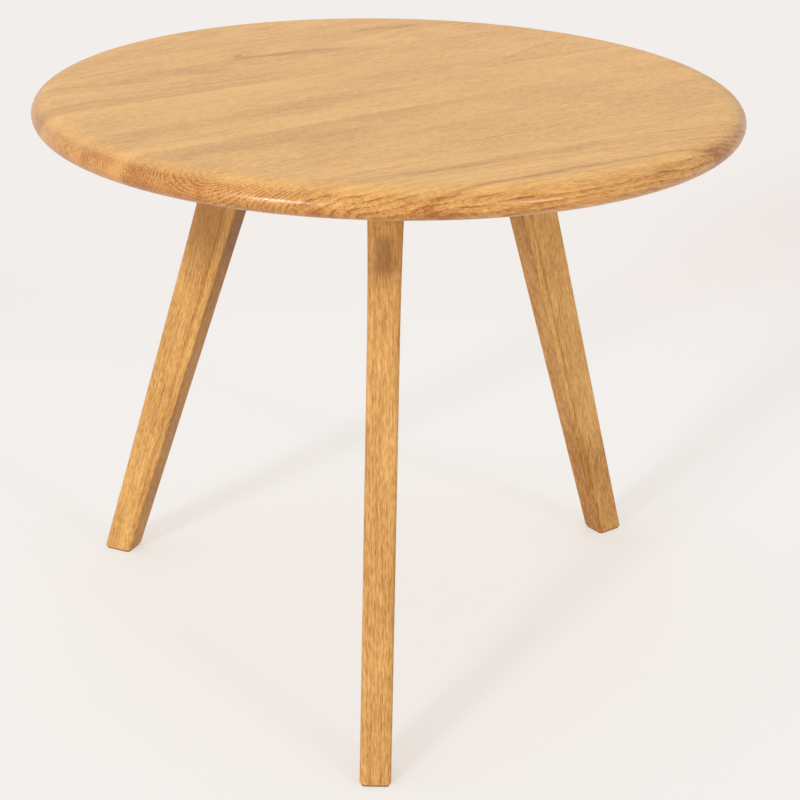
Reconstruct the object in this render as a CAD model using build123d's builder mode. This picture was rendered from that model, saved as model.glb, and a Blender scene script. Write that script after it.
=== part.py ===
from build123d import *
import os
from math import cos, radians, sin

os.makedirs("parts", exist_ok=True)

# Round oak table on three splayed legs. Millimetres, +Z up.
# Origin: on the floor, on the axis of the round top.
# The top is five boards glued edge to edge. Each leg has a steel plate screwed to its head,
# and each plate is bolted to threaded inserts in the underside of the top.

# Top
TABLE_HEIGHT = 500.0
TOP_RADIUS = 300.0
TOP_THICKNESS = 24.0
RIM_UPPER_REACH = 22.0
RIM_LOWER_REACH = 13.0
RIM_LOWER_RISE = 11.0
BOARD_DIRECTION = 38.0
BOARD_WIDTH = 135.0
FIRST_JOINT = -193.0
JOINT_COUNT = 4

# Legs. A leg leans outward to the foot and swells a little towards its head.
LEG_AZIMUTHS = {"front": -90.0, "right": 37.5, "left": 157.0}
FOOT_RADIUS = 285.0
HEAD_RADIUS = 130.5
FOOT_DEPTH = 29.0
HEAD_DEPTH = 46.0
FOOT_WIDTH = 25.6
HEAD_WIDTH = 26.4
LEG_EDGE_RADIUS = 4.5
FOOT_EASE = 1.2
SWELL_START = 345.0
SWELL_STEPS = 4
SWELL_OUTWARD = 4.5
SWELL_INWARD = 3.0
SWELL_SIDE = 2.4

# Felt glides under the feet
GLIDE_THICKNESS = 1.5
GLIDE_INSET = 1.5
GLIDE_CORNER = 3.0

# Leg plates: rounded triangles, given as (radial, sideways) bolt places
PLATE_THICKNESS = 4.0
PLATE_MARGIN = 13.0
BOLT_SPOTS = [(98.0, 0.0), (150.0, 28.0), (150.0, -28.0)]
BOLT_HOLE_RADIUS = 3.5

# Countersunk wood screws from the plate into the leg head
SCREW_SPOTS = [(132.0, 0.0), (148.0, 8.0), (148.0, -8.0)]
SCREW_RADIUS = 2.5
SCREW_HEAD_RADIUS = 5.0
SCREW_LENGTH = 40.0
SCREW_TIP = 6.0
SCREW_SOCKET_RADIUS = 2.0
SCREW_SOCKET_DEPTH = 1.6

# Button-head bolts with washers, and the threaded inserts they turn into
WASHER_RADIUS = 6.25
WASHER_BORE = 3.2
WASHER_THICKNESS = 1.2
BOLT_RADIUS = 3.0
BOLT_LENGTH = 16.0
BOLT_HEAD_RADIUS = 5.25
BOLT_HEAD_HEIGHT = 3.3
BOLT_HEAD_ROUND = 2.2
BOLT_SOCKET_RADIUS = 2.3
BOLT_SOCKET_DEPTH = 2.0
INSERT_RADIUS = 5.0
INSERT_BORE = 3.05
INSERT_LENGTH = 13.0
INSERT_HOLE_DEPTH = 14.0

UNDERSIDE = TABLE_HEIGHT - TOP_THICKNESS
LEG_TOP = UNDERSIDE - PLATE_THICKNESS


def save(piece, label):
    piece.part.label = label
    export_step(piece.part, f"parts/{label}.step")


def radial_plane(azimuth, height):
    """Horizontal plane whose X runs outward from the table's axis along a leg."""
    outward = (cos(radians(azimuth)), sin(radians(azimuth)), 0)
    return Plane(origin=(0, 0, height), x_dir=outward, z_dir=(0, 0, 1))


def board_plane(height):
    """Horizontal plane whose X runs along the boards and whose Y crosses them."""
    along = (cos(radians(BOARD_DIRECTION)), sin(radians(BOARD_DIRECTION)), 0)
    return Plane(origin=(0, 0, height), x_dir=along, z_dir=(0, 0, 1))


def insert_spots():
    """Places of all the inserts, as (along, across) in the board plane."""
    spots = []
    for azimuth in LEG_AZIMUTHS.values():
        turn = radians(azimuth - BOARD_DIRECTION)
        for outward, sideways in BOLT_SPOTS:
            along = outward * cos(turn) - sideways * sin(turn)
            across = outward * sin(turn) + sideways * cos(turn)
            spots.append((along, across))
    return spots


def board_edges():
    joints = [FIRST_JOINT + BOARD_WIDTH * step for step in range(JOINT_COUNT)]
    return [-TOP_RADIUS] + joints + [TOP_RADIUS]


def build_board(label, low, high):
    """One board of the round top: a strip of the disc, with its share of the rounded rim."""
    with BuildPart() as board:
        with BuildSketch(Plane.XZ):
            with BuildLine():
                Line((0, UNDERSIDE), (TOP_RADIUS - RIM_LOWER_REACH, UNDERSIDE))
                EllipticalCenterArc(
                    (TOP_RADIUS - RIM_LOWER_REACH, UNDERSIDE + RIM_LOWER_RISE),
                    RIM_LOWER_REACH,
                    RIM_LOWER_RISE,
                    start_angle=270,
                    arc_size=90,
                )
                EllipticalCenterArc(
                    (TOP_RADIUS - RIM_UPPER_REACH, UNDERSIDE + RIM_LOWER_RISE),
                    RIM_UPPER_REACH,
                    TOP_THICKNESS - RIM_LOWER_RISE,
                    start_angle=0,
                    arc_size=90,
                )
                Line((TOP_RADIUS - RIM_UPPER_REACH, TABLE_HEIGHT), (0, TABLE_HEIGHT))
                Line((0, TABLE_HEIGHT), (0, UNDERSIDE))
            make_face()
        revolve(axis=Axis.Z)
        with BuildSketch(board_plane(UNDERSIDE)):
            with Locations((0, (low + high) / 2)):
                Rectangle(2 * TOP_RADIUS, high - low)
        extrude(amount=TOP_THICKNESS, mode=Mode.INTERSECT)
        spots = [spot for spot in insert_spots() if low < spot[1] < high]
        if spots:
            with BuildSketch(board_plane(UNDERSIDE)):
                with Locations(*spots):
                    Circle(INSERT_RADIUS)
            extrude(amount=INSERT_HOLE_DEPTH, mode=Mode.SUBTRACT)
    save(board, label)


def leg_section(height):
    """Centre distance from the table's axis, depth and width of a leg at a height."""
    rise = height / UNDERSIDE
    swell = max(0.0, (height - SWELL_START) / (LEG_TOP - SWELL_START)) ** 2
    centre = FOOT_RADIUS + (HEAD_RADIUS - FOOT_RADIUS) * rise
    centre += (SWELL_OUTWARD - SWELL_INWARD) * swell / 2
    depth = FOOT_DEPTH + (HEAD_DEPTH - FOOT_DEPTH) * rise
    depth += (SWELL_OUTWARD + SWELL_INWARD) * swell
    width = FOOT_WIDTH + (HEAD_WIDTH - FOOT_WIDTH) * rise
    width += 2 * SWELL_SIDE * swell
    return centre, depth, width


def build_leg(side, azimuth):
    swell_height = (LEG_TOP - SWELL_START) / SWELL_STEPS
    swell_heights = [SWELL_START + swell_height * step for step in range(SWELL_STEPS + 1)]
    with BuildPart() as leg:
        for height in (GLIDE_THICKNESS, SWELL_START):
            centre, depth, width = leg_section(height)
            with BuildSketch(radial_plane(azimuth, height)):
                with Locations((centre, 0)):
                    RectangleRounded(depth, width, LEG_EDGE_RADIUS)
        loft()
        for height in swell_heights:
            centre, depth, width = leg_section(height)
            with BuildSketch(radial_plane(azimuth, height)):
                with Locations((centre, 0)):
                    RectangleRounded(depth, width, LEG_EDGE_RADIUS)
        loft()
        chamfer(leg.edges().group_by(Axis.Z)[0], FOOT_EASE)
        with BuildSketch(radial_plane(azimuth, LEG_TOP)):
            with Locations(*SCREW_SPOTS):
                Circle(SCREW_RADIUS)
        extrude(amount=PLATE_THICKNESS - SCREW_LENGTH, mode=Mode.SUBTRACT)
    save(leg, f"leg_{side}")


def build_glide(side, azimuth):
    centre, depth, width = leg_section(GLIDE_THICKNESS)
    with BuildPart() as glide:
        with BuildSketch(radial_plane(azimuth, 0)):
            with Locations((centre, 0)):
                RectangleRounded(depth - 2 * GLIDE_INSET, width - 2 * GLIDE_INSET, GLIDE_CORNER)
        extrude(amount=GLIDE_THICKNESS)
    save(glide, f"glide_{side}")


def build_plate(side, azimuth):
    with BuildPart() as plate:
        with BuildSketch(radial_plane(azimuth, LEG_TOP)):
            with BuildLine():
                Polyline(*BOLT_SPOTS, close=True)
            make_face()
            offset(amount=PLATE_MARGIN, kind=Kind.ARC)
            with Locations(*BOLT_SPOTS):
                Circle(BOLT_HOLE_RADIUS, mode=Mode.SUBTRACT)
        extrude(amount=PLATE_THICKNESS)
        with Locations(radial_plane(azimuth, UNDERSIDE)):
            with Locations(*SCREW_SPOTS):
                CounterSinkHole(SCREW_RADIUS, SCREW_HEAD_RADIUS, PLATE_THICKNESS, 90)
    save(plate, f"leg_plate_{side}")


def build_leg_screws(side, azimuth):
    """Three countersunk screws, heads flush with the upper face of the plate."""
    head_height = SCREW_HEAD_RADIUS - SCREW_RADIUS
    with BuildPart() as screws:
        with BuildSketch(radial_plane(azimuth, UNDERSIDE)):
            with Locations(*SCREW_SPOTS):
                Circle(SCREW_HEAD_RADIUS)
        extrude(amount=-head_height, taper=45)
        with BuildSketch(radial_plane(azimuth, UNDERSIDE - head_height)):
            with Locations(*SCREW_SPOTS):
                Circle(SCREW_RADIUS)
        extrude(amount=head_height + SCREW_TIP - SCREW_LENGTH)
        with BuildSketch(radial_plane(azimuth, UNDERSIDE - SCREW_LENGTH + SCREW_TIP)):
            with Locations(*SCREW_SPOTS):
                Circle(SCREW_RADIUS)
        extrude(amount=-SCREW_TIP, taper=18)
        with BuildSketch(radial_plane(azimuth, UNDERSIDE)):
            with Locations(*SCREW_SPOTS):
                RegularPolygon(SCREW_SOCKET_RADIUS, 6)
        extrude(amount=-SCREW_SOCKET_DEPTH, mode=Mode.SUBTRACT)
    save(screws, f"leg_screws_{side}")


def build_washers(side, azimuth):
    with BuildPart() as washers:
        with BuildSketch(radial_plane(azimuth, LEG_TOP)):
            with Locations(*BOLT_SPOTS):
                Circle(WASHER_RADIUS)
                Circle(WASHER_BORE, mode=Mode.SUBTRACT)
        extrude(amount=-WASHER_THICKNESS)
    save(washers, f"bolt_washers_{side}")


def build_bolts(side, azimuth):
    """Three button-head bolts, driven from below."""
    seat = LEG_TOP - WASHER_THICKNESS
    head_bottom = seat - BOLT_HEAD_HEIGHT
    with BuildPart() as bolts:
        with BuildSketch(radial_plane(azimuth, seat)):
            with Locations(*BOLT_SPOTS):
                Circle(BOLT_HEAD_RADIUS)
        extrude(amount=-BOLT_HEAD_HEIGHT)
        fillet(bolts.edges().group_by(Axis.Z)[0], BOLT_HEAD_ROUND)
        with BuildSketch(radial_plane(azimuth, seat)):
            with Locations(*BOLT_SPOTS):
                Circle(BOLT_RADIUS)
        extrude(amount=BOLT_LENGTH)
        with BuildSketch(radial_plane(azimuth, head_bottom)):
            with Locations(*BOLT_SPOTS):
                RegularPolygon(BOLT_SOCKET_RADIUS, 6)
        extrude(amount=BOLT_SOCKET_DEPTH, mode=Mode.SUBTRACT)
    save(bolts, f"plate_bolts_{side}")


def build_inserts(side, azimuth):
    with BuildPart() as inserts:
        with BuildSketch(radial_plane(azimuth, UNDERSIDE)):
            with Locations(*BOLT_SPOTS):
                Circle(INSERT_RADIUS)
                Circle(INSERT_BORE, mode=Mode.SUBTRACT)
        extrude(amount=INSERT_LENGTH)
    save(inserts, f"top_inserts_{side}")


edges = board_edges()
for number in range(len(edges) - 1):
    build_board(f"top_board_{number + 1}", edges[number], edges[number + 1])

for side, azimuth in LEG_AZIMUTHS.items():
    build_leg(side, azimuth)
    build_glide(side, azimuth)
    build_plate(side, azimuth)
    build_leg_screws(side, azimuth)
    build_washers(side, azimuth)
    build_bolts(side, azimuth)
    build_inserts(side, azimuth)
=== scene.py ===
from math import cos, pi, radians, sin

import bpy
from mathutils import Matrix, Vector


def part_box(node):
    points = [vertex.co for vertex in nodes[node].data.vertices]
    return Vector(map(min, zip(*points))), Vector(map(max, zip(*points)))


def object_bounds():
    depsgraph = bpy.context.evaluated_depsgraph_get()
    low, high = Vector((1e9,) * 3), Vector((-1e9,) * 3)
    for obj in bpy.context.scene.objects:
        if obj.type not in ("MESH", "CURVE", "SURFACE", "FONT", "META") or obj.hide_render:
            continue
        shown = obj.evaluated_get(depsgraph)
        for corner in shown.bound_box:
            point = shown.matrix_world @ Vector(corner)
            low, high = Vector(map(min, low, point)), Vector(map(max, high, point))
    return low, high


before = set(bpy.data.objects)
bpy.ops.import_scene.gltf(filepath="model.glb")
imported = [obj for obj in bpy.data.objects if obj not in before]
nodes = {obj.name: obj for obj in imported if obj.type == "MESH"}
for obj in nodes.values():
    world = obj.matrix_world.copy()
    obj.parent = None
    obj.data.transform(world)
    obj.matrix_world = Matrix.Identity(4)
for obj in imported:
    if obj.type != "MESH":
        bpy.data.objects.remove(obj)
cad_low, cad_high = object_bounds()

# Metres, in the CAD model's frame: +Z up, the floor at zero, the top's axis through the origin.
TOP_DIAMETER = cad_high.x - cad_low.x
MM = 0.001
SIDES = ("front", "right", "left")

# Camera: its place in top diameters from the foot of the table's axis, angles in degrees,
# lens and sensor in mm, and how far it sees in metres
CAMERA_PLACE = (0.0269, -2.6345, 1.4878)
CAMERA_PITCH = 23.28
CAMERA_YAW = -0.09
CAMERA_ROLL = 1.08
CAMERA_LENS = 85.29
CAMERA_SENSOR = 36
CAMERA_REACH = 60

# Soft studio light: a surround that dims from left to right, a broad low key from the front left
# and a weaker fill from the front right. Angles and sizes in degrees, distance in metres.
SURROUND_LEFT = 0.96
SURROUND_RIGHT = 0.66
KEY = {"azimuth": 237.0, "elevation": 17.5, "size": 10.0, "strength": 1.55}
FILL = {"azimuth": -46.0, "elevation": 20.0, "size": 12.0, "strength": 0.50}
SUN_DISTANCE = 3

# The floor reflects part of its light and gives off the rest, so shadows on it stay faint. Round
# the table it gives off a little more, in a pool. Linear colours, the pool's radii in metres, and
# the floor's half side in top diameters.
FLOOR_COLOR = (0.36, 0.42, 0.47, 1)
FLOOR_GLOW = (0.529, 0.430, 0.354, 1)
POOL_GLOW = (0.552, 0.478, 0.416, 1)
POOL_RADIUS = 1.05
POOL_CORE = 0.25 * POOL_RADIUS
FLOOR_REACH = 24


class Graph:
    """Builds the node tree of one material."""

    def __init__(self, name):
        self.material = bpy.data.materials.new(name)
        self.material.use_nodes = True
        self.nodes = self.material.node_tree.nodes
        self.links = self.material.node_tree.links
        self.shader = self.nodes["Principled BSDF"]

    def feed(self, socket, value):
        """Links a socket to another node's output, or sets it to a plain value."""
        if isinstance(value, bpy.types.NodeSocket):
            self.links.new(value, socket)
        else:
            socket.default_value = value

    def math(self, operation, first, second=0.0, third=0.0):
        node = self.nodes.new("ShaderNodeMath")
        node.operation = operation
        for socket, value in zip(node.inputs, (first, second, third)):
            self.feed(socket, value)
        return node.outputs[0]

    def total(self, *terms):
        result = terms[0]
        for term in terms[1:]:
            result = self.math("ADD", result, term)
        return result

    def times(self, first, second):
        return self.math("MULTIPLY", first, second)

    def vector(self, operation, first, second=(0.0, 0.0, 0.0)):
        node = self.nodes.new("ShaderNodeVectorMath")
        node.operation = operation
        self.feed(node.inputs[0], first)
        self.feed(node.inputs[1], second)
        return node.outputs["Value" if operation in ("LENGTH", "DOT_PRODUCT") else "Vector"]

    def split(self, vector):
        node = self.nodes.new("ShaderNodeSeparateXYZ")
        self.feed(node.inputs[0], vector)
        return node.outputs

    def noise(self, place, reach, detail=2.0, output="Fac"):
        """Noise whose features measure reach=(x, y, z) mm."""
        node = self.nodes.new("ShaderNodeTexNoise")
        scale = tuple(1 / value for value in reach)
        self.feed(node.inputs["Vector"], self.vector("MULTIPLY", place, scale))
        self.feed(node.inputs["Scale"], 1.0)
        self.feed(node.inputs["Detail"], detail)
        return node.outputs[output]

    def drift(self, place, reach, amount):
        """Pushes a place about by noise, up to roughly amount=(x, y, z) mm."""
        push = self.vector("SUBTRACT", self.noise(place, reach, output="Color"), (0.5, 0.5, 0.5))
        return self.vector("ADD", place, self.vector("MULTIPLY", push, amount))

    def smooth(self, value, low, high, out_low=0.0, out_high=1.0):
        """Smoothly takes value from low..high to out_low..out_high."""
        node = self.nodes.new("ShaderNodeMapRange")
        node.interpolation_type = "SMOOTHSTEP"
        self.feed(node.inputs["Value"], value)
        self.feed(node.inputs["From Min"], low)
        self.feed(node.inputs["From Max"], high)
        self.feed(node.inputs["To Min"], out_low)
        self.feed(node.inputs["To Max"], out_high)
        return node.outputs["Result"]

    def blend(self, factor, first, second):
        node = self.nodes.new("ShaderNodeMix")
        node.data_type = "RGBA"
        self.feed(node.inputs["Factor"], factor)
        self.feed(node.inputs["A"], first)
        self.feed(node.inputs["B"], second)
        return node.outputs["Result"]

    def coordinate(self, kind):
        return self.nodes.new("ShaderNodeTexCoord").outputs[kind]

    def place(self, origin=(0, 0, 0), rotation=(0, 0, 0)):
        """Object coordinates in millimetres, in a frame at origin turned by rotation."""
        node = self.nodes.new("ShaderNodeMapping")
        node.vector_type = "TEXTURE"
        self.feed(node.inputs["Vector"], self.coordinate("Object"))
        node.inputs["Location"].default_value = origin
        node.inputs["Rotation"].default_value = rotation
        node.inputs["Scale"].default_value = (MM, MM, MM)
        return node.outputs[0]

    def bump(self, height, strength, distance):
        node = self.nodes.new("ShaderNodeBump")
        node.inputs["Strength"].default_value = strength
        node.inputs["Distance"].default_value = distance
        self.feed(node.inputs["Height"], height)
        self.feed(self.shader.inputs["Normal"], node.outputs[0])


def linear(red, green, blue):
    """An 8-bit display colour as scene-linear red, green, blue, alpha."""
    channels = []
    for value in (red, green, blue):
        share = value / 255
        channels.append(share / 12.92 if share <= 0.04045 else ((share + 0.055) / 1.055) ** 2.4)
    return (*channels, 1.0)


# Oak colours: the pale and the deep tone of the boards and of the legs, open pores, and painted shade
BOARD_TONES = (linear(236, 182, 104), linear(158, 92, 30))
LEG_TONES = (linear(236, 187, 112), linear(154, 97, 35))
OAK_PORE = linear(112, 68, 28)
OAK_PAINTED_SHADE = linear(101, 54, 3)

# How the oak grew: sizes are (along the grain, across it, across it) in mm. A wave is the size of
# its noise and how far that pushes the grain about. LOG_OFFSET parts the logs along the grain.
LOG_OFFSET = 731
LOG_WAVE = ((240, 70, 70), (0, 16, 16))
RING_WAVE = ((34, 8, 8), (0, 1.8, 1.8))
FIBRE_WAVE = ((18, 4, 4), (0, 2.2, 2.2))
FIGURE_WAVE = ((30, 6, 6), (0, 5, 5))
RING_PACE_SIZE = (20, 20, 20)
RING_GRADE_SIZE = (5, 5, 5)
PORE_SIZE = (8, 0.5, 0.5)
FLECK_SIZE = (8, 1.2, 1.2)
DASH_SIZE = (6, 0.9, 0.9)
CLOUD_SIZE = (110, 30, 30)
MOTTLE_SIZE = (30, 8, 8)
STREAK_SIZE = (70, 3, 3)
FIBRE_SIZE = (30, 1, 1)

# Each ring's early wood comes and goes, then its late wood comes, over these shares of the ring.
# RING_PACE is how far noise shifts the rings, in rings, and LEAST_GRADE the palest early wood.
EARLY_COMES = (0.0, 0.08)
EARLY_GOES = (0.10, 0.42)
LATE_COMES = (0.45, 1.0)
RING_PACE = 2.4
LEAST_GRADE = 0.35
LATE_WOOD = 0.35

# The stretch of the noise over which each part of the texture goes from nothing to all
GRADE_RANGE = (0.3, 0.7)
PORE_RANGE = (0.58, 0.68)
FLECK_RANGE = (0.36, 0.66)
DASH_RANGE = (0.58, 0.72)
SWING_RANGE = (0.32, 0.68)
SPECK_RANGE = (0.3, 0.7)
FINE_DETAIL = 1.0
SPECK_DETAIL = 3.0
FLUFF_DETAIL = 6.0

# The share of a line of figure that fades at either end
LINE_FADE = 0.25

# How far each part of the texture moves the depth of tone, how dark pores are, and how open they
# are outside the early wood and how much more so in it
CLOUD = 0.17
MOTTLE = 0.11
STREAK = 0.10
FIBRE = 0.11
FLECK = 0.28
DASH = 0.18
PORE = 0.6
EARLY_PORES = 0.55
LATE_PORES = 0.2

# How rough the fibres make the oak, and how strong and deep its relief is, depth in metres.
# Rings sink the surface by a share of what open pores do.
FIBRE_ROUGHNESS = 0.06
OAK_BUMP = 0.12
OAK_RELIEF = 0.0002
RING_RELIEF = -0.3

# Metals and felt: their specks and fluff against the plain colour, sizes in mm, relief in metres
SPECK_TONE = 0.8
SPECK_ROUGHNESS = 0.12
METAL_RELIEF = 0.0001
FLUFF_SIZE = 0.45
FLUFF_TONE = 1.7
FELT_ROUGHNESS = 0.95
FELT_BUMP = 0.8
FELT_RELIEF = 0.0004


def figure_line(graph, along, across, start, end, bow, below, above):
    """Mask of one soft line of figure or stretch of painted shade, in mm: bowed at its middle, fading
    below and above it.
    """
    run = end[0] - start[0]
    share = graph.math("MULTIPLY_ADD", along, 1 / run, -start[0] / run)
    straight = graph.math("MULTIPLY_ADD", share, end[1] - start[1], start[1])
    hump = graph.times(graph.times(share, graph.math("SUBTRACT", 1.0, share)), 4 * bow)
    offset = graph.math("SUBTRACT", across, graph.total(straight, hump))
    lower, upper = graph.smooth(offset, -below, 0.0), graph.smooth(offset, 0.0, above, 1.0, 0.0)
    first = graph.smooth(share, 0.0, LINE_FADE)
    last = graph.smooth(share, 1.0 - LINE_FADE, 1.0, 1.0, 0.0)
    return graph.times(graph.times(lower, upper), graph.times(first, last))


def figure(graph, place, across, lines):
    """Depth of tone added by lines of figure, or stretches of painted shade on the legs, that run
    along X, across being the axis they cross.
    """
    grain = graph.split(graph.drift(place, *FIGURE_WAVE))
    depths = [0.0]
    for start, end, bow, below, above, depth in lines:
        mask = figure_line(graph, grain["X"], grain[across], start, end, bow, below, above)
        depths.append(graph.times(mask, depth))
    return graph.total(*depths)


def growth_rings(graph, log, spacing):
    """Masks of the growth rings round the log's pith, and of their porous early wood alone."""
    wavy = graph.drift(graph.drift(log, *LOG_WAVE), *RING_WAVE)
    section = graph.vector("MULTIPLY", wavy, (0, 1, 1))
    radius = graph.times(graph.vector("LENGTH", section), 1 / spacing)
    pace = graph.times(graph.noise(section, RING_PACE_SIZE, FINE_DETAIL), RING_PACE)
    phase = graph.math("FRACT", graph.total(radius, pace))
    early = graph.times(graph.smooth(phase, *EARLY_COMES), graph.smooth(phase, *EARLY_GOES, 1.0, 0.0))
    late = graph.smooth(phase, *LATE_COMES)
    grade = graph.noise(section, RING_GRADE_SIZE, FINE_DETAIL)
    grade = graph.smooth(grade, *GRADE_RANGE, LEAST_GRADE, 1.0)
    return graph.total(graph.times(early, grade), graph.times(late, LATE_WOOD)), early


def swing(graph, place, size):
    """Noise as a swing of tone from -0.5 to 0.5."""
    return graph.smooth(graph.noise(place, size), *SWING_RANGE, -0.5, 0.5)


def oak(graph, place, tones, cut, seed, base, lively, ringed, painted_shade, finish):
    """Oak between two tones, pale and deep, in a frame whose X runs along the piece.

    cut gives the pith's (y, z) mm at x = 0, its lean in mm per mm, and the rings' spacing in mm.
    base is the depth of tone the wood starts from, lively how strongly its texture shows, ringed
    how strongly its rings show, and shade how far painted shade darkens it on top of that. finish is
    its roughness and specular level.
    """
    along = graph.split(place)[0]
    log = graph.vector("SUBTRACT", place, (seed * LOG_OFFSET, *cut["pith"]))
    log = graph.vector("SUBTRACT", log, graph.vector("MULTIPLY", along, (0, *cut["lean"])))
    rings, early = growth_rings(graph, log, cut["ring"])

    # Pores and flecks, short and drawn out along the grain
    fibres = graph.drift(log, *FIBRE_WAVE)
    pores = graph.smooth(graph.noise(fibres, PORE_SIZE, FINE_DETAIL), *PORE_RANGE)
    pore = graph.times(pores, graph.math("MULTIPLY_ADD", early, EARLY_PORES, LATE_PORES))
    fleck = graph.smooth(graph.noise(fibres, FLECK_SIZE, FINE_DETAIL), *FLECK_RANGE, -0.5, 0.5)
    dash = graph.smooth(graph.noise(fibres, DASH_SIZE, FINE_DETAIL), *DASH_RANGE)
    fibre = swing(graph, fibres, FIBRE_SIZE)

    texture = graph.total(
        graph.times(swing(graph, log, CLOUD_SIZE), CLOUD),
        graph.times(swing(graph, fibres, MOTTLE_SIZE), MOTTLE),
        graph.times(swing(graph, fibres, STREAK_SIZE), STREAK),
        graph.times(fibre, FIBRE),
        graph.times(fleck, FLECK),
        graph.times(dash, DASH),
    )
    depth = graph.total(base, graph.times(texture, lively), graph.times(rings, ringed))
    color = graph.blend(graph.math("MAXIMUM", depth, 0.0), *tones)
    color = graph.blend(graph.times(pore, PORE), color, OAK_PORE)
    # Painted shade: the oak darkens towards a dark brown where shade falls on it
    color = graph.blend(painted_shade, color, OAK_PAINTED_SHADE)
    graph.feed(graph.shader.inputs["Base Color"], color)
    roughness, specular = finish
    roughness = graph.math("MULTIPLY_ADD", fibre, FIBRE_ROUGHNESS, roughness)
    graph.feed(graph.shader.inputs["Roughness"], roughness)
    graph.shader.inputs["Specular IOR Level"].default_value = specular
    height = graph.math("SUBTRACT", graph.times(rings, RING_RELIEF), pore)
    graph.bump(height, OAK_BUMP, OAK_RELIEF)
    return graph.material


def wear(piece, material):
    """Gives a piece one material over all its faces."""
    piece.data.materials.clear()
    piece.data.materials.append(material)


def metal(name, color, metallic, roughness, speck, bump):
    """Metal or powder coat with fine specks, whose size is in mm."""
    graph = Graph(name)
    specks = graph.noise(graph.place(), (speck, speck, speck), SPECK_DETAIL)
    dark = (*(SPECK_TONE * channel for channel in color[:3]), 1.0)
    graph.feed(graph.shader.inputs["Base Color"], graph.blend(specks, dark, color))
    graph.shader.inputs["Metallic"].default_value = metallic
    rough = graph.smooth(specks, *SPECK_RANGE, roughness, roughness + SPECK_ROUGHNESS)
    graph.feed(graph.shader.inputs["Roughness"], rough)
    graph.bump(specks, bump, METAL_RELIEF)
    return graph.material


def felt(name, color):
    graph = Graph(name)
    fluff = graph.noise(graph.place(), (FLUFF_SIZE, FLUFF_SIZE, FLUFF_SIZE), FLUFF_DETAIL)
    pale = (*(FLUFF_TONE * channel for channel in color[:3]), 1.0)
    graph.feed(graph.shader.inputs["Base Color"], graph.blend(fluff, color, pale))
    graph.shader.inputs["Roughness"].default_value = FELT_ROUGHNESS
    graph.bump(fluff, FELT_BUMP, FELT_RELIEF)
    return graph.material


# Where each board's log had its pith, and its lines of figure: each runs from one place to another,
# with its bow, its fades below and above, and its depth. Board frame, mm from the table's axis.
BOARD_DIRECTION = 38.0
GRAIN = (cos(radians(BOARD_DIRECTION)), sin(radians(BOARD_DIRECTION)), 0.0)
BOARDS = {
    "top_board_1": {
        "pith": (-320, 380),
        "lean": (-0.10, 0.0),
        "ring": 5.0,
        "base": 0.11,
        "lines": (
            ((-220, -249), (230, -290), 0, 6, 2.5, 0.34),
            ((-260, -192), (110, -236), -4, 9, 9, 0.26),
            ((-200, -228), (60, -258), 0, 10, 10, -0.10),
            ((90, -279), (190, -270), 0, 12, 12, 0.26),
        ),
    },
    "top_board_2": {
        "pith": (-134, 492),
        "lean": (-0.03, -0.10),
        "ring": 2.5,
        "base": 0.14,
        "lines": (
            ((-290, -79), (-60, -97), 0, 8, 8, 0.09),
            ((-60, -166), (60, -171), 0, 3, 3, 0.12),
            ((-240, -181), (-20, -184), 0, 9, 9, -0.13),
            ((-360, -62), (60, -62), 0, 60, 4, 0.11),
        ),
    },
    "top_board_3": {
        "pith": (-105, 482),
        "lean": (0.02, -0.08),
        "ring": 2.5,
        "base": 0.10,
        "lines": (
            ((-330, -12), (60, -6), 0, 26, 26, 0.13),
            ((-120, 6), (30, -6), 0, 6, 6, 0.09),
            ((-20, 45), (105, 45), 0, 14, 14, 0.09),
            ((135, 20), (250, 60), 5, 5, 6, 0.20),
            ((125, 20), (300, 13), 0, 6, 5, 0.22),
            ((140, 8), (300, 4), 0, 4, 4, -0.10),
            ((-360, 72), (60, 72), 0, 24, 5, -0.12),
            ((-380, -54), (60, -54), 0, 5, 20, -0.15),
        ),
    },
    "top_board_4": {
        "pith": (150, 420),
        "lean": (0.04, 0.04),
        "ring": 3.4,
        "base": 0.13,
        "lines": (
            ((-75, 168), (75, 143), 0, 9, 8, 0.32),
            ((-210, 148), (100, 148), 4, 22, 22, 0.12),
            ((-260, 150), (-120, 140), 0, 20, 14, 0.14),
            ((-150, 129), (15, 143), 0, 3, 3, 0.16),
            ((45, 138), (270, 116), 0, 3, 3, 0.16),
            ((100, 199), (185, 187), 0, 11, 11, 0.26),
            ((-360, 81), (40, 79), 0, 4, 26, 0.12),
            # The knot near the back edge
            ((-47, 172), (-37, 172), 0, 3, 3, 1.0),
        ),
    },
    "top_board_5": {
        "pith": (262, 415),
        "lean": (0.02, -0.03),
        "ring": 3.2,
        "base": 0.12,
        "lines": (),
    },
}

# How far up a normal points where a flat face starts and is plain flat, and how far down where the
# painted shade of the underside does
FLAT_RISE = (0.75, 0.99)
UNDER_SHADE_RISE = (0.0, -0.6)

# What the rim and the end grain add to a board's depth of tone, how much painted shade darkens the
# underside and the rim's lower half, how strongly texture and rings show on its flat faces and how
# much more on the rim, and the finish of both
END_DEPTH = 0.14
RIM_DEPTH = 0.30
UNDER_SHADE_DEPTH = 0.16
FLAT_LIVELY, RIM_LIVELY = 0.80, 0.20
FLAT_RINGED, RIM_RINGED = 0.20, 0.36
FLAT_ROUGHNESS, RIM_ROUGHNESS = 0.43, -0.14
BOARD_SPECULAR = 0.5

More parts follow.
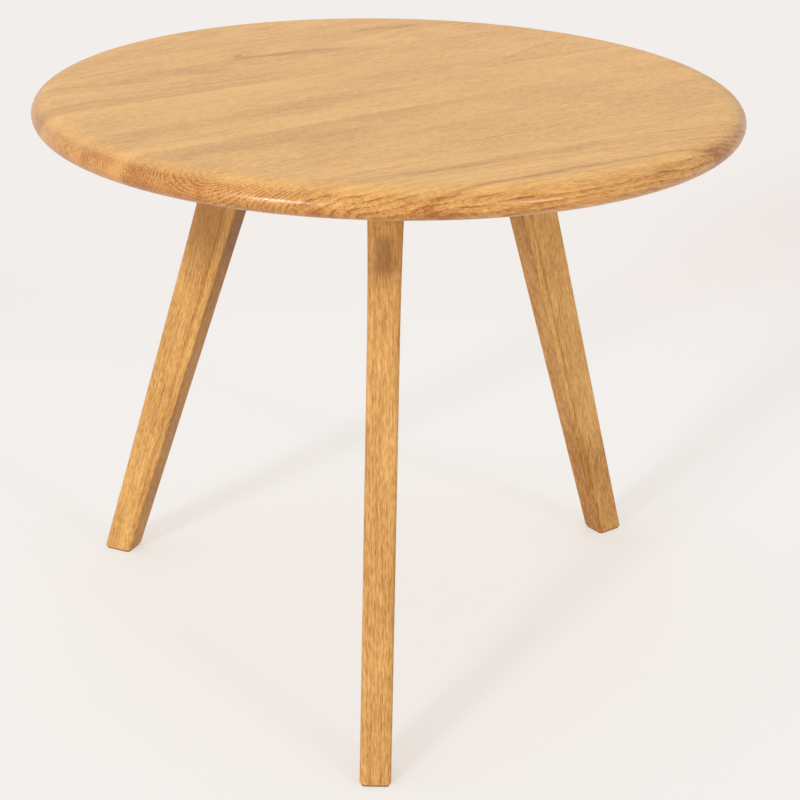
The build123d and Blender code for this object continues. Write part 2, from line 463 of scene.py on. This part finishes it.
for seed, (name, cut) in enumerate(BOARDS.items(), start=1):
    graph = Graph("oak_" + name)
    place = graph.place((0, 0, 0), (0, 0, radians(BOARD_DIRECTION)))
    normal = graph.coordinate("Normal")
    rise = graph.split(normal)["Z"]
    flat = graph.smooth(graph.math("ABSOLUTE", rise), *FLAT_RISE)
    rim = graph.math("SUBTRACT", 1.0, flat)
    # Painted shade: faces that point down, the underside and the rim's lower half, are darkened
    underside_shade = graph.smooth(rise, *UNDER_SHADE_RISE)
    end = graph.math("ABSOLUTE", graph.vector("DOT_PRODUCT", normal, GRAIN))
    base = graph.total(
        cut["base"],
        graph.times(end, END_DEPTH),
        graph.times(rim, RIM_DEPTH),
        graph.times(underside_shade, UNDER_SHADE_DEPTH),
        figure(graph, place, "Y", cut["lines"]),
    )
    lively = graph.math("MULTIPLY_ADD", rim, RIM_LIVELY, FLAT_LIVELY)
    ringed = graph.math("MULTIPLY_ADD", rim, RIM_RINGED, FLAT_RINGED)
    finish = (graph.math("MULTIPLY_ADD", rim, RIM_ROUGHNESS, FLAT_ROUGHNESS), BOARD_SPECULAR)
    wear(nodes[name], oak(graph, place, BOARD_TONES, cut, seed, base, lively, ringed, 0.0, finish))


def leg_ends(leg):
    """Centres of a leg's foot and head."""
    low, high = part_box(leg.name)
    ends = []
    for level in (low.z, high.z):
        rim = [vertex.co for vertex in leg.data.vertices if abs(vertex.co.z - level) < MM]
        ends.append(sum(rim, Vector()) / len(rim))
    return ends


# The same for the legs, in a frame with X up the leg from its foot, Z outwards and Y sideways.
# The shades paint the top's shadow on a stretch of the leg's head, in the same form as lines, and
# the inner share paints shade on the inward face. A fade of 60 mm takes in the leg's whole width.
LEGS = {
    "leg_front": {
        "pith": (40, 25),
        "lean": (0.02, 0.012),
        "ring": 2.7,
        "base": 0.51,
        "inward_shade": 0.0,
        "across": "Y",
        "lines": (
            ((310, 0), (414, 0), 0, 60, 60, -0.06),
            ((-120, 0), (240, 0), 0, 60, 60, 0.06),
        ),
        # Painted shadow of the top: a soft dark patch just below the head
        "painted_shades": (
            ((386, 0), (456, 0), 0, 24, 24, 0.24),
            ((403, 0), (443, 0), 0, 18, 18, 0.44),
        ),
    },
    "leg_right": {
        "pith": (-60, 160),
        "lean": (0.03, 0.08),
        "ring": 2.7,
        "base": 0.43,
        "inward_shade": 0.12,
        "across": "Z",
        "lines": (
            ((-120, -11), (560, -20), 0, 2.5, 3, 0.26),
            ((-90, 0), (150, 0), 0, 60, 60, 0.26),
            # Painted shade: the top's shadow darkens the head
            ((360, 0), (640, 0), 0, 60, 60, 0.08),
        ),
        "painted_shades": (),
    },
    "leg_left": {
        "pith": (34, 38),
        "lean": (-0.03, 0.03),
        "ring": 2.7,
        "base": 0.47,
        "inward_shade": 0.24,
        "across": "Z",
        "lines": (
            ((-100, -9), (600, -17), 0, 3, 3, 0.26),
        ),
        # Painted shadow of the top over the head
        "painted_shades": (((300, 0), (600, 0), 0, 60, 60, 0.58),),
    },
}

# How far inwards a normal points where the inward face starts and is plain, how much painted shade
# that face adds to a leg's depth of tone, how strongly texture and rings show, and the legs' finish.
# The legs' logs are numbered after the boards'.
INWARD_RANGE = (0.5, 0.9)
INWARD_SHADE_DEPTH = 0.14
LEG_LIVELY = 0.9
LEG_RINGED = 0.2
LEG_FINISH = (0.54, 0.3)
FIRST_LEG_SEED = 11

for seed, (name, cut) in enumerate(LEGS.items(), start=FIRST_LEG_SEED):
    foot, head = leg_ends(nodes[name])
    graph = Graph("oak_" + name)
    place = graph.place(foot, (head - foot).to_track_quat("X", "Z").to_euler())
    inward = Vector((head.x - foot.x, head.y - foot.y, 0)).normalized()
    # Painted shade on the inward face, and the top's shadow painted on the head
    inward_shade = graph.vector("DOT_PRODUCT", graph.coordinate("Normal"), inward)
    inward_shade = graph.smooth(inward_shade, *INWARD_RANGE)
    lines, painted_shades = (figure(graph, place, cut["across"], cut[kind]) for kind in ("lines", "painted_shades"))
    base = graph.total(cut["base"], graph.times(inward_shade, INWARD_SHADE_DEPTH), lines)
    painted_shade = graph.math("ADD", graph.times(inward_shade, cut["inward_shade"]), painted_shades)
    material = oak(graph, place, LEG_TONES, cut, seed, base, LEG_LIVELY, LEG_RINGED, painted_shade, LEG_FINISH)
    wear(nodes[name], material)

# The fittings' materials. Metals: how metallic, roughness, specks' size in mm, strength of the relief.
BRIGHT_ZINC = metal("bright_zinc", linear(190, 192, 194), 1.0, 0.28, 0.7, 0.1)
FITTINGS = {
    "leg_plate_": metal("black_powder_coat", linear(34, 34, 35), 0.0, 0.48, 0.35, 0.5),
    "leg_screws_": metal("yellow_zinc", linear(196, 178, 128), 1.0, 0.30, 0.7, 0.1),
    "plate_bolts_": BRIGHT_ZINC,
    "bolt_washers_": BRIGHT_ZINC,
    "top_inserts_": metal("turned_brass", linear(206, 172, 96), 1.0, 0.25, 0.5, 0.1),
    "glide_": felt("brown_felt", linear(120, 84, 50)),
}
for side in SIDES:
    for kind, material in FITTINGS.items():
        wear(nodes[kind + side], material)


def build_floor():
    reach = FLOOR_REACH * TOP_DIAMETER
    mesh = bpy.data.meshes.new("floor")
    corners = [(-reach, -reach, 0), (reach, -reach, 0), (reach, reach, 0), (-reach, reach, 0)]
    mesh.from_pydata(corners, [], [(0, 1, 2, 3)])
    floor = bpy.data.objects.new("floor", mesh)
    bpy.context.scene.collection.objects.link(floor)
    graph = Graph("studio_floor")
    shader = graph.shader
    distance = graph.vector("LENGTH", graph.coordinate("Object"))
    pool = graph.smooth(distance, POOL_RADIUS, POOL_CORE)
    graph.feed(shader.inputs["Emission Color"], graph.blend(pool, FLOOR_GLOW, POOL_GLOW))
    shader.inputs["Emission Strength"].default_value = 1.0
    shader.inputs["Base Color"].default_value = FLOOR_COLOR
    shader.inputs["Roughness"].default_value = 1.0
    shader.inputs["Specular IOR Level"].default_value = 0.0
    mesh.materials.append(graph.material)


def add_sun(name, azimuth, elevation, size, strength):
    light = bpy.data.lights.new(name, "SUN")
    light.energy = strength
    light.angle = radians(size)
    sun = bpy.data.objects.new(name, light)
    turn, rise = radians(azimuth), radians(elevation)
    towards = Vector((cos(turn) * cos(rise), sin(turn) * cos(rise), sin(rise)))
    sun.rotation_euler = towards.to_track_quat("Z", "Y").to_euler()
    sun.location = towards * SUN_DISTANCE
    bpy.context.scene.collection.objects.link(sun)


def build_light():
    world = bpy.data.worlds.new("studio")
    world.use_nodes = True
    tree = world.node_tree
    surround = tree.nodes["Background"]
    direction = tree.nodes.new("ShaderNodeTexCoord")
    split = tree.nodes.new("ShaderNodeSeparateXYZ")
    fade = tree.nodes.new("ShaderNodeMapRange")
    tree.links.new(direction.outputs["Generated"], split.inputs[0])
    tree.links.new(split.outputs["X"], fade.inputs["Value"])
    fade.inputs["From Min"].default_value = -1.0
    fade.inputs["To Min"].default_value = SURROUND_LEFT
    fade.inputs["To Max"].default_value = SURROUND_RIGHT
    tree.links.new(fade.outputs["Result"], surround.inputs["Strength"])
    surround.inputs["Color"].default_value = (1, 1, 1, 1)
    bpy.context.scene.world = world
    add_sun("key", **KEY)
    add_sun("fill", **FILL)


def build_camera():
    data = bpy.data.cameras.new("camera")
    data.lens = CAMERA_LENS
    data.sensor_width = CAMERA_SENSOR
    data.dof.use_dof = False
    data.clip_end = CAMERA_REACH
    camera = bpy.data.objects.new("camera", data)
    turn = Matrix.Rotation(radians(-CAMERA_YAW), 4, "Z")
    turn = turn @ Matrix.Rotation(pi / 2 - radians(CAMERA_PITCH), 4, "X")
    turn = turn @ Matrix.Rotation(radians(CAMERA_ROLL), 4, "Z")
    camera.matrix_world = Matrix.Translation(Vector(CAMERA_PLACE) * TOP_DIAMETER) @ turn
    bpy.context.scene.collection.objects.link(camera)
    bpy.context.scene.camera = camera


build_floor()
build_light()
build_camera()
bpy.context.scene.view_settings.view_transform = "Standard"
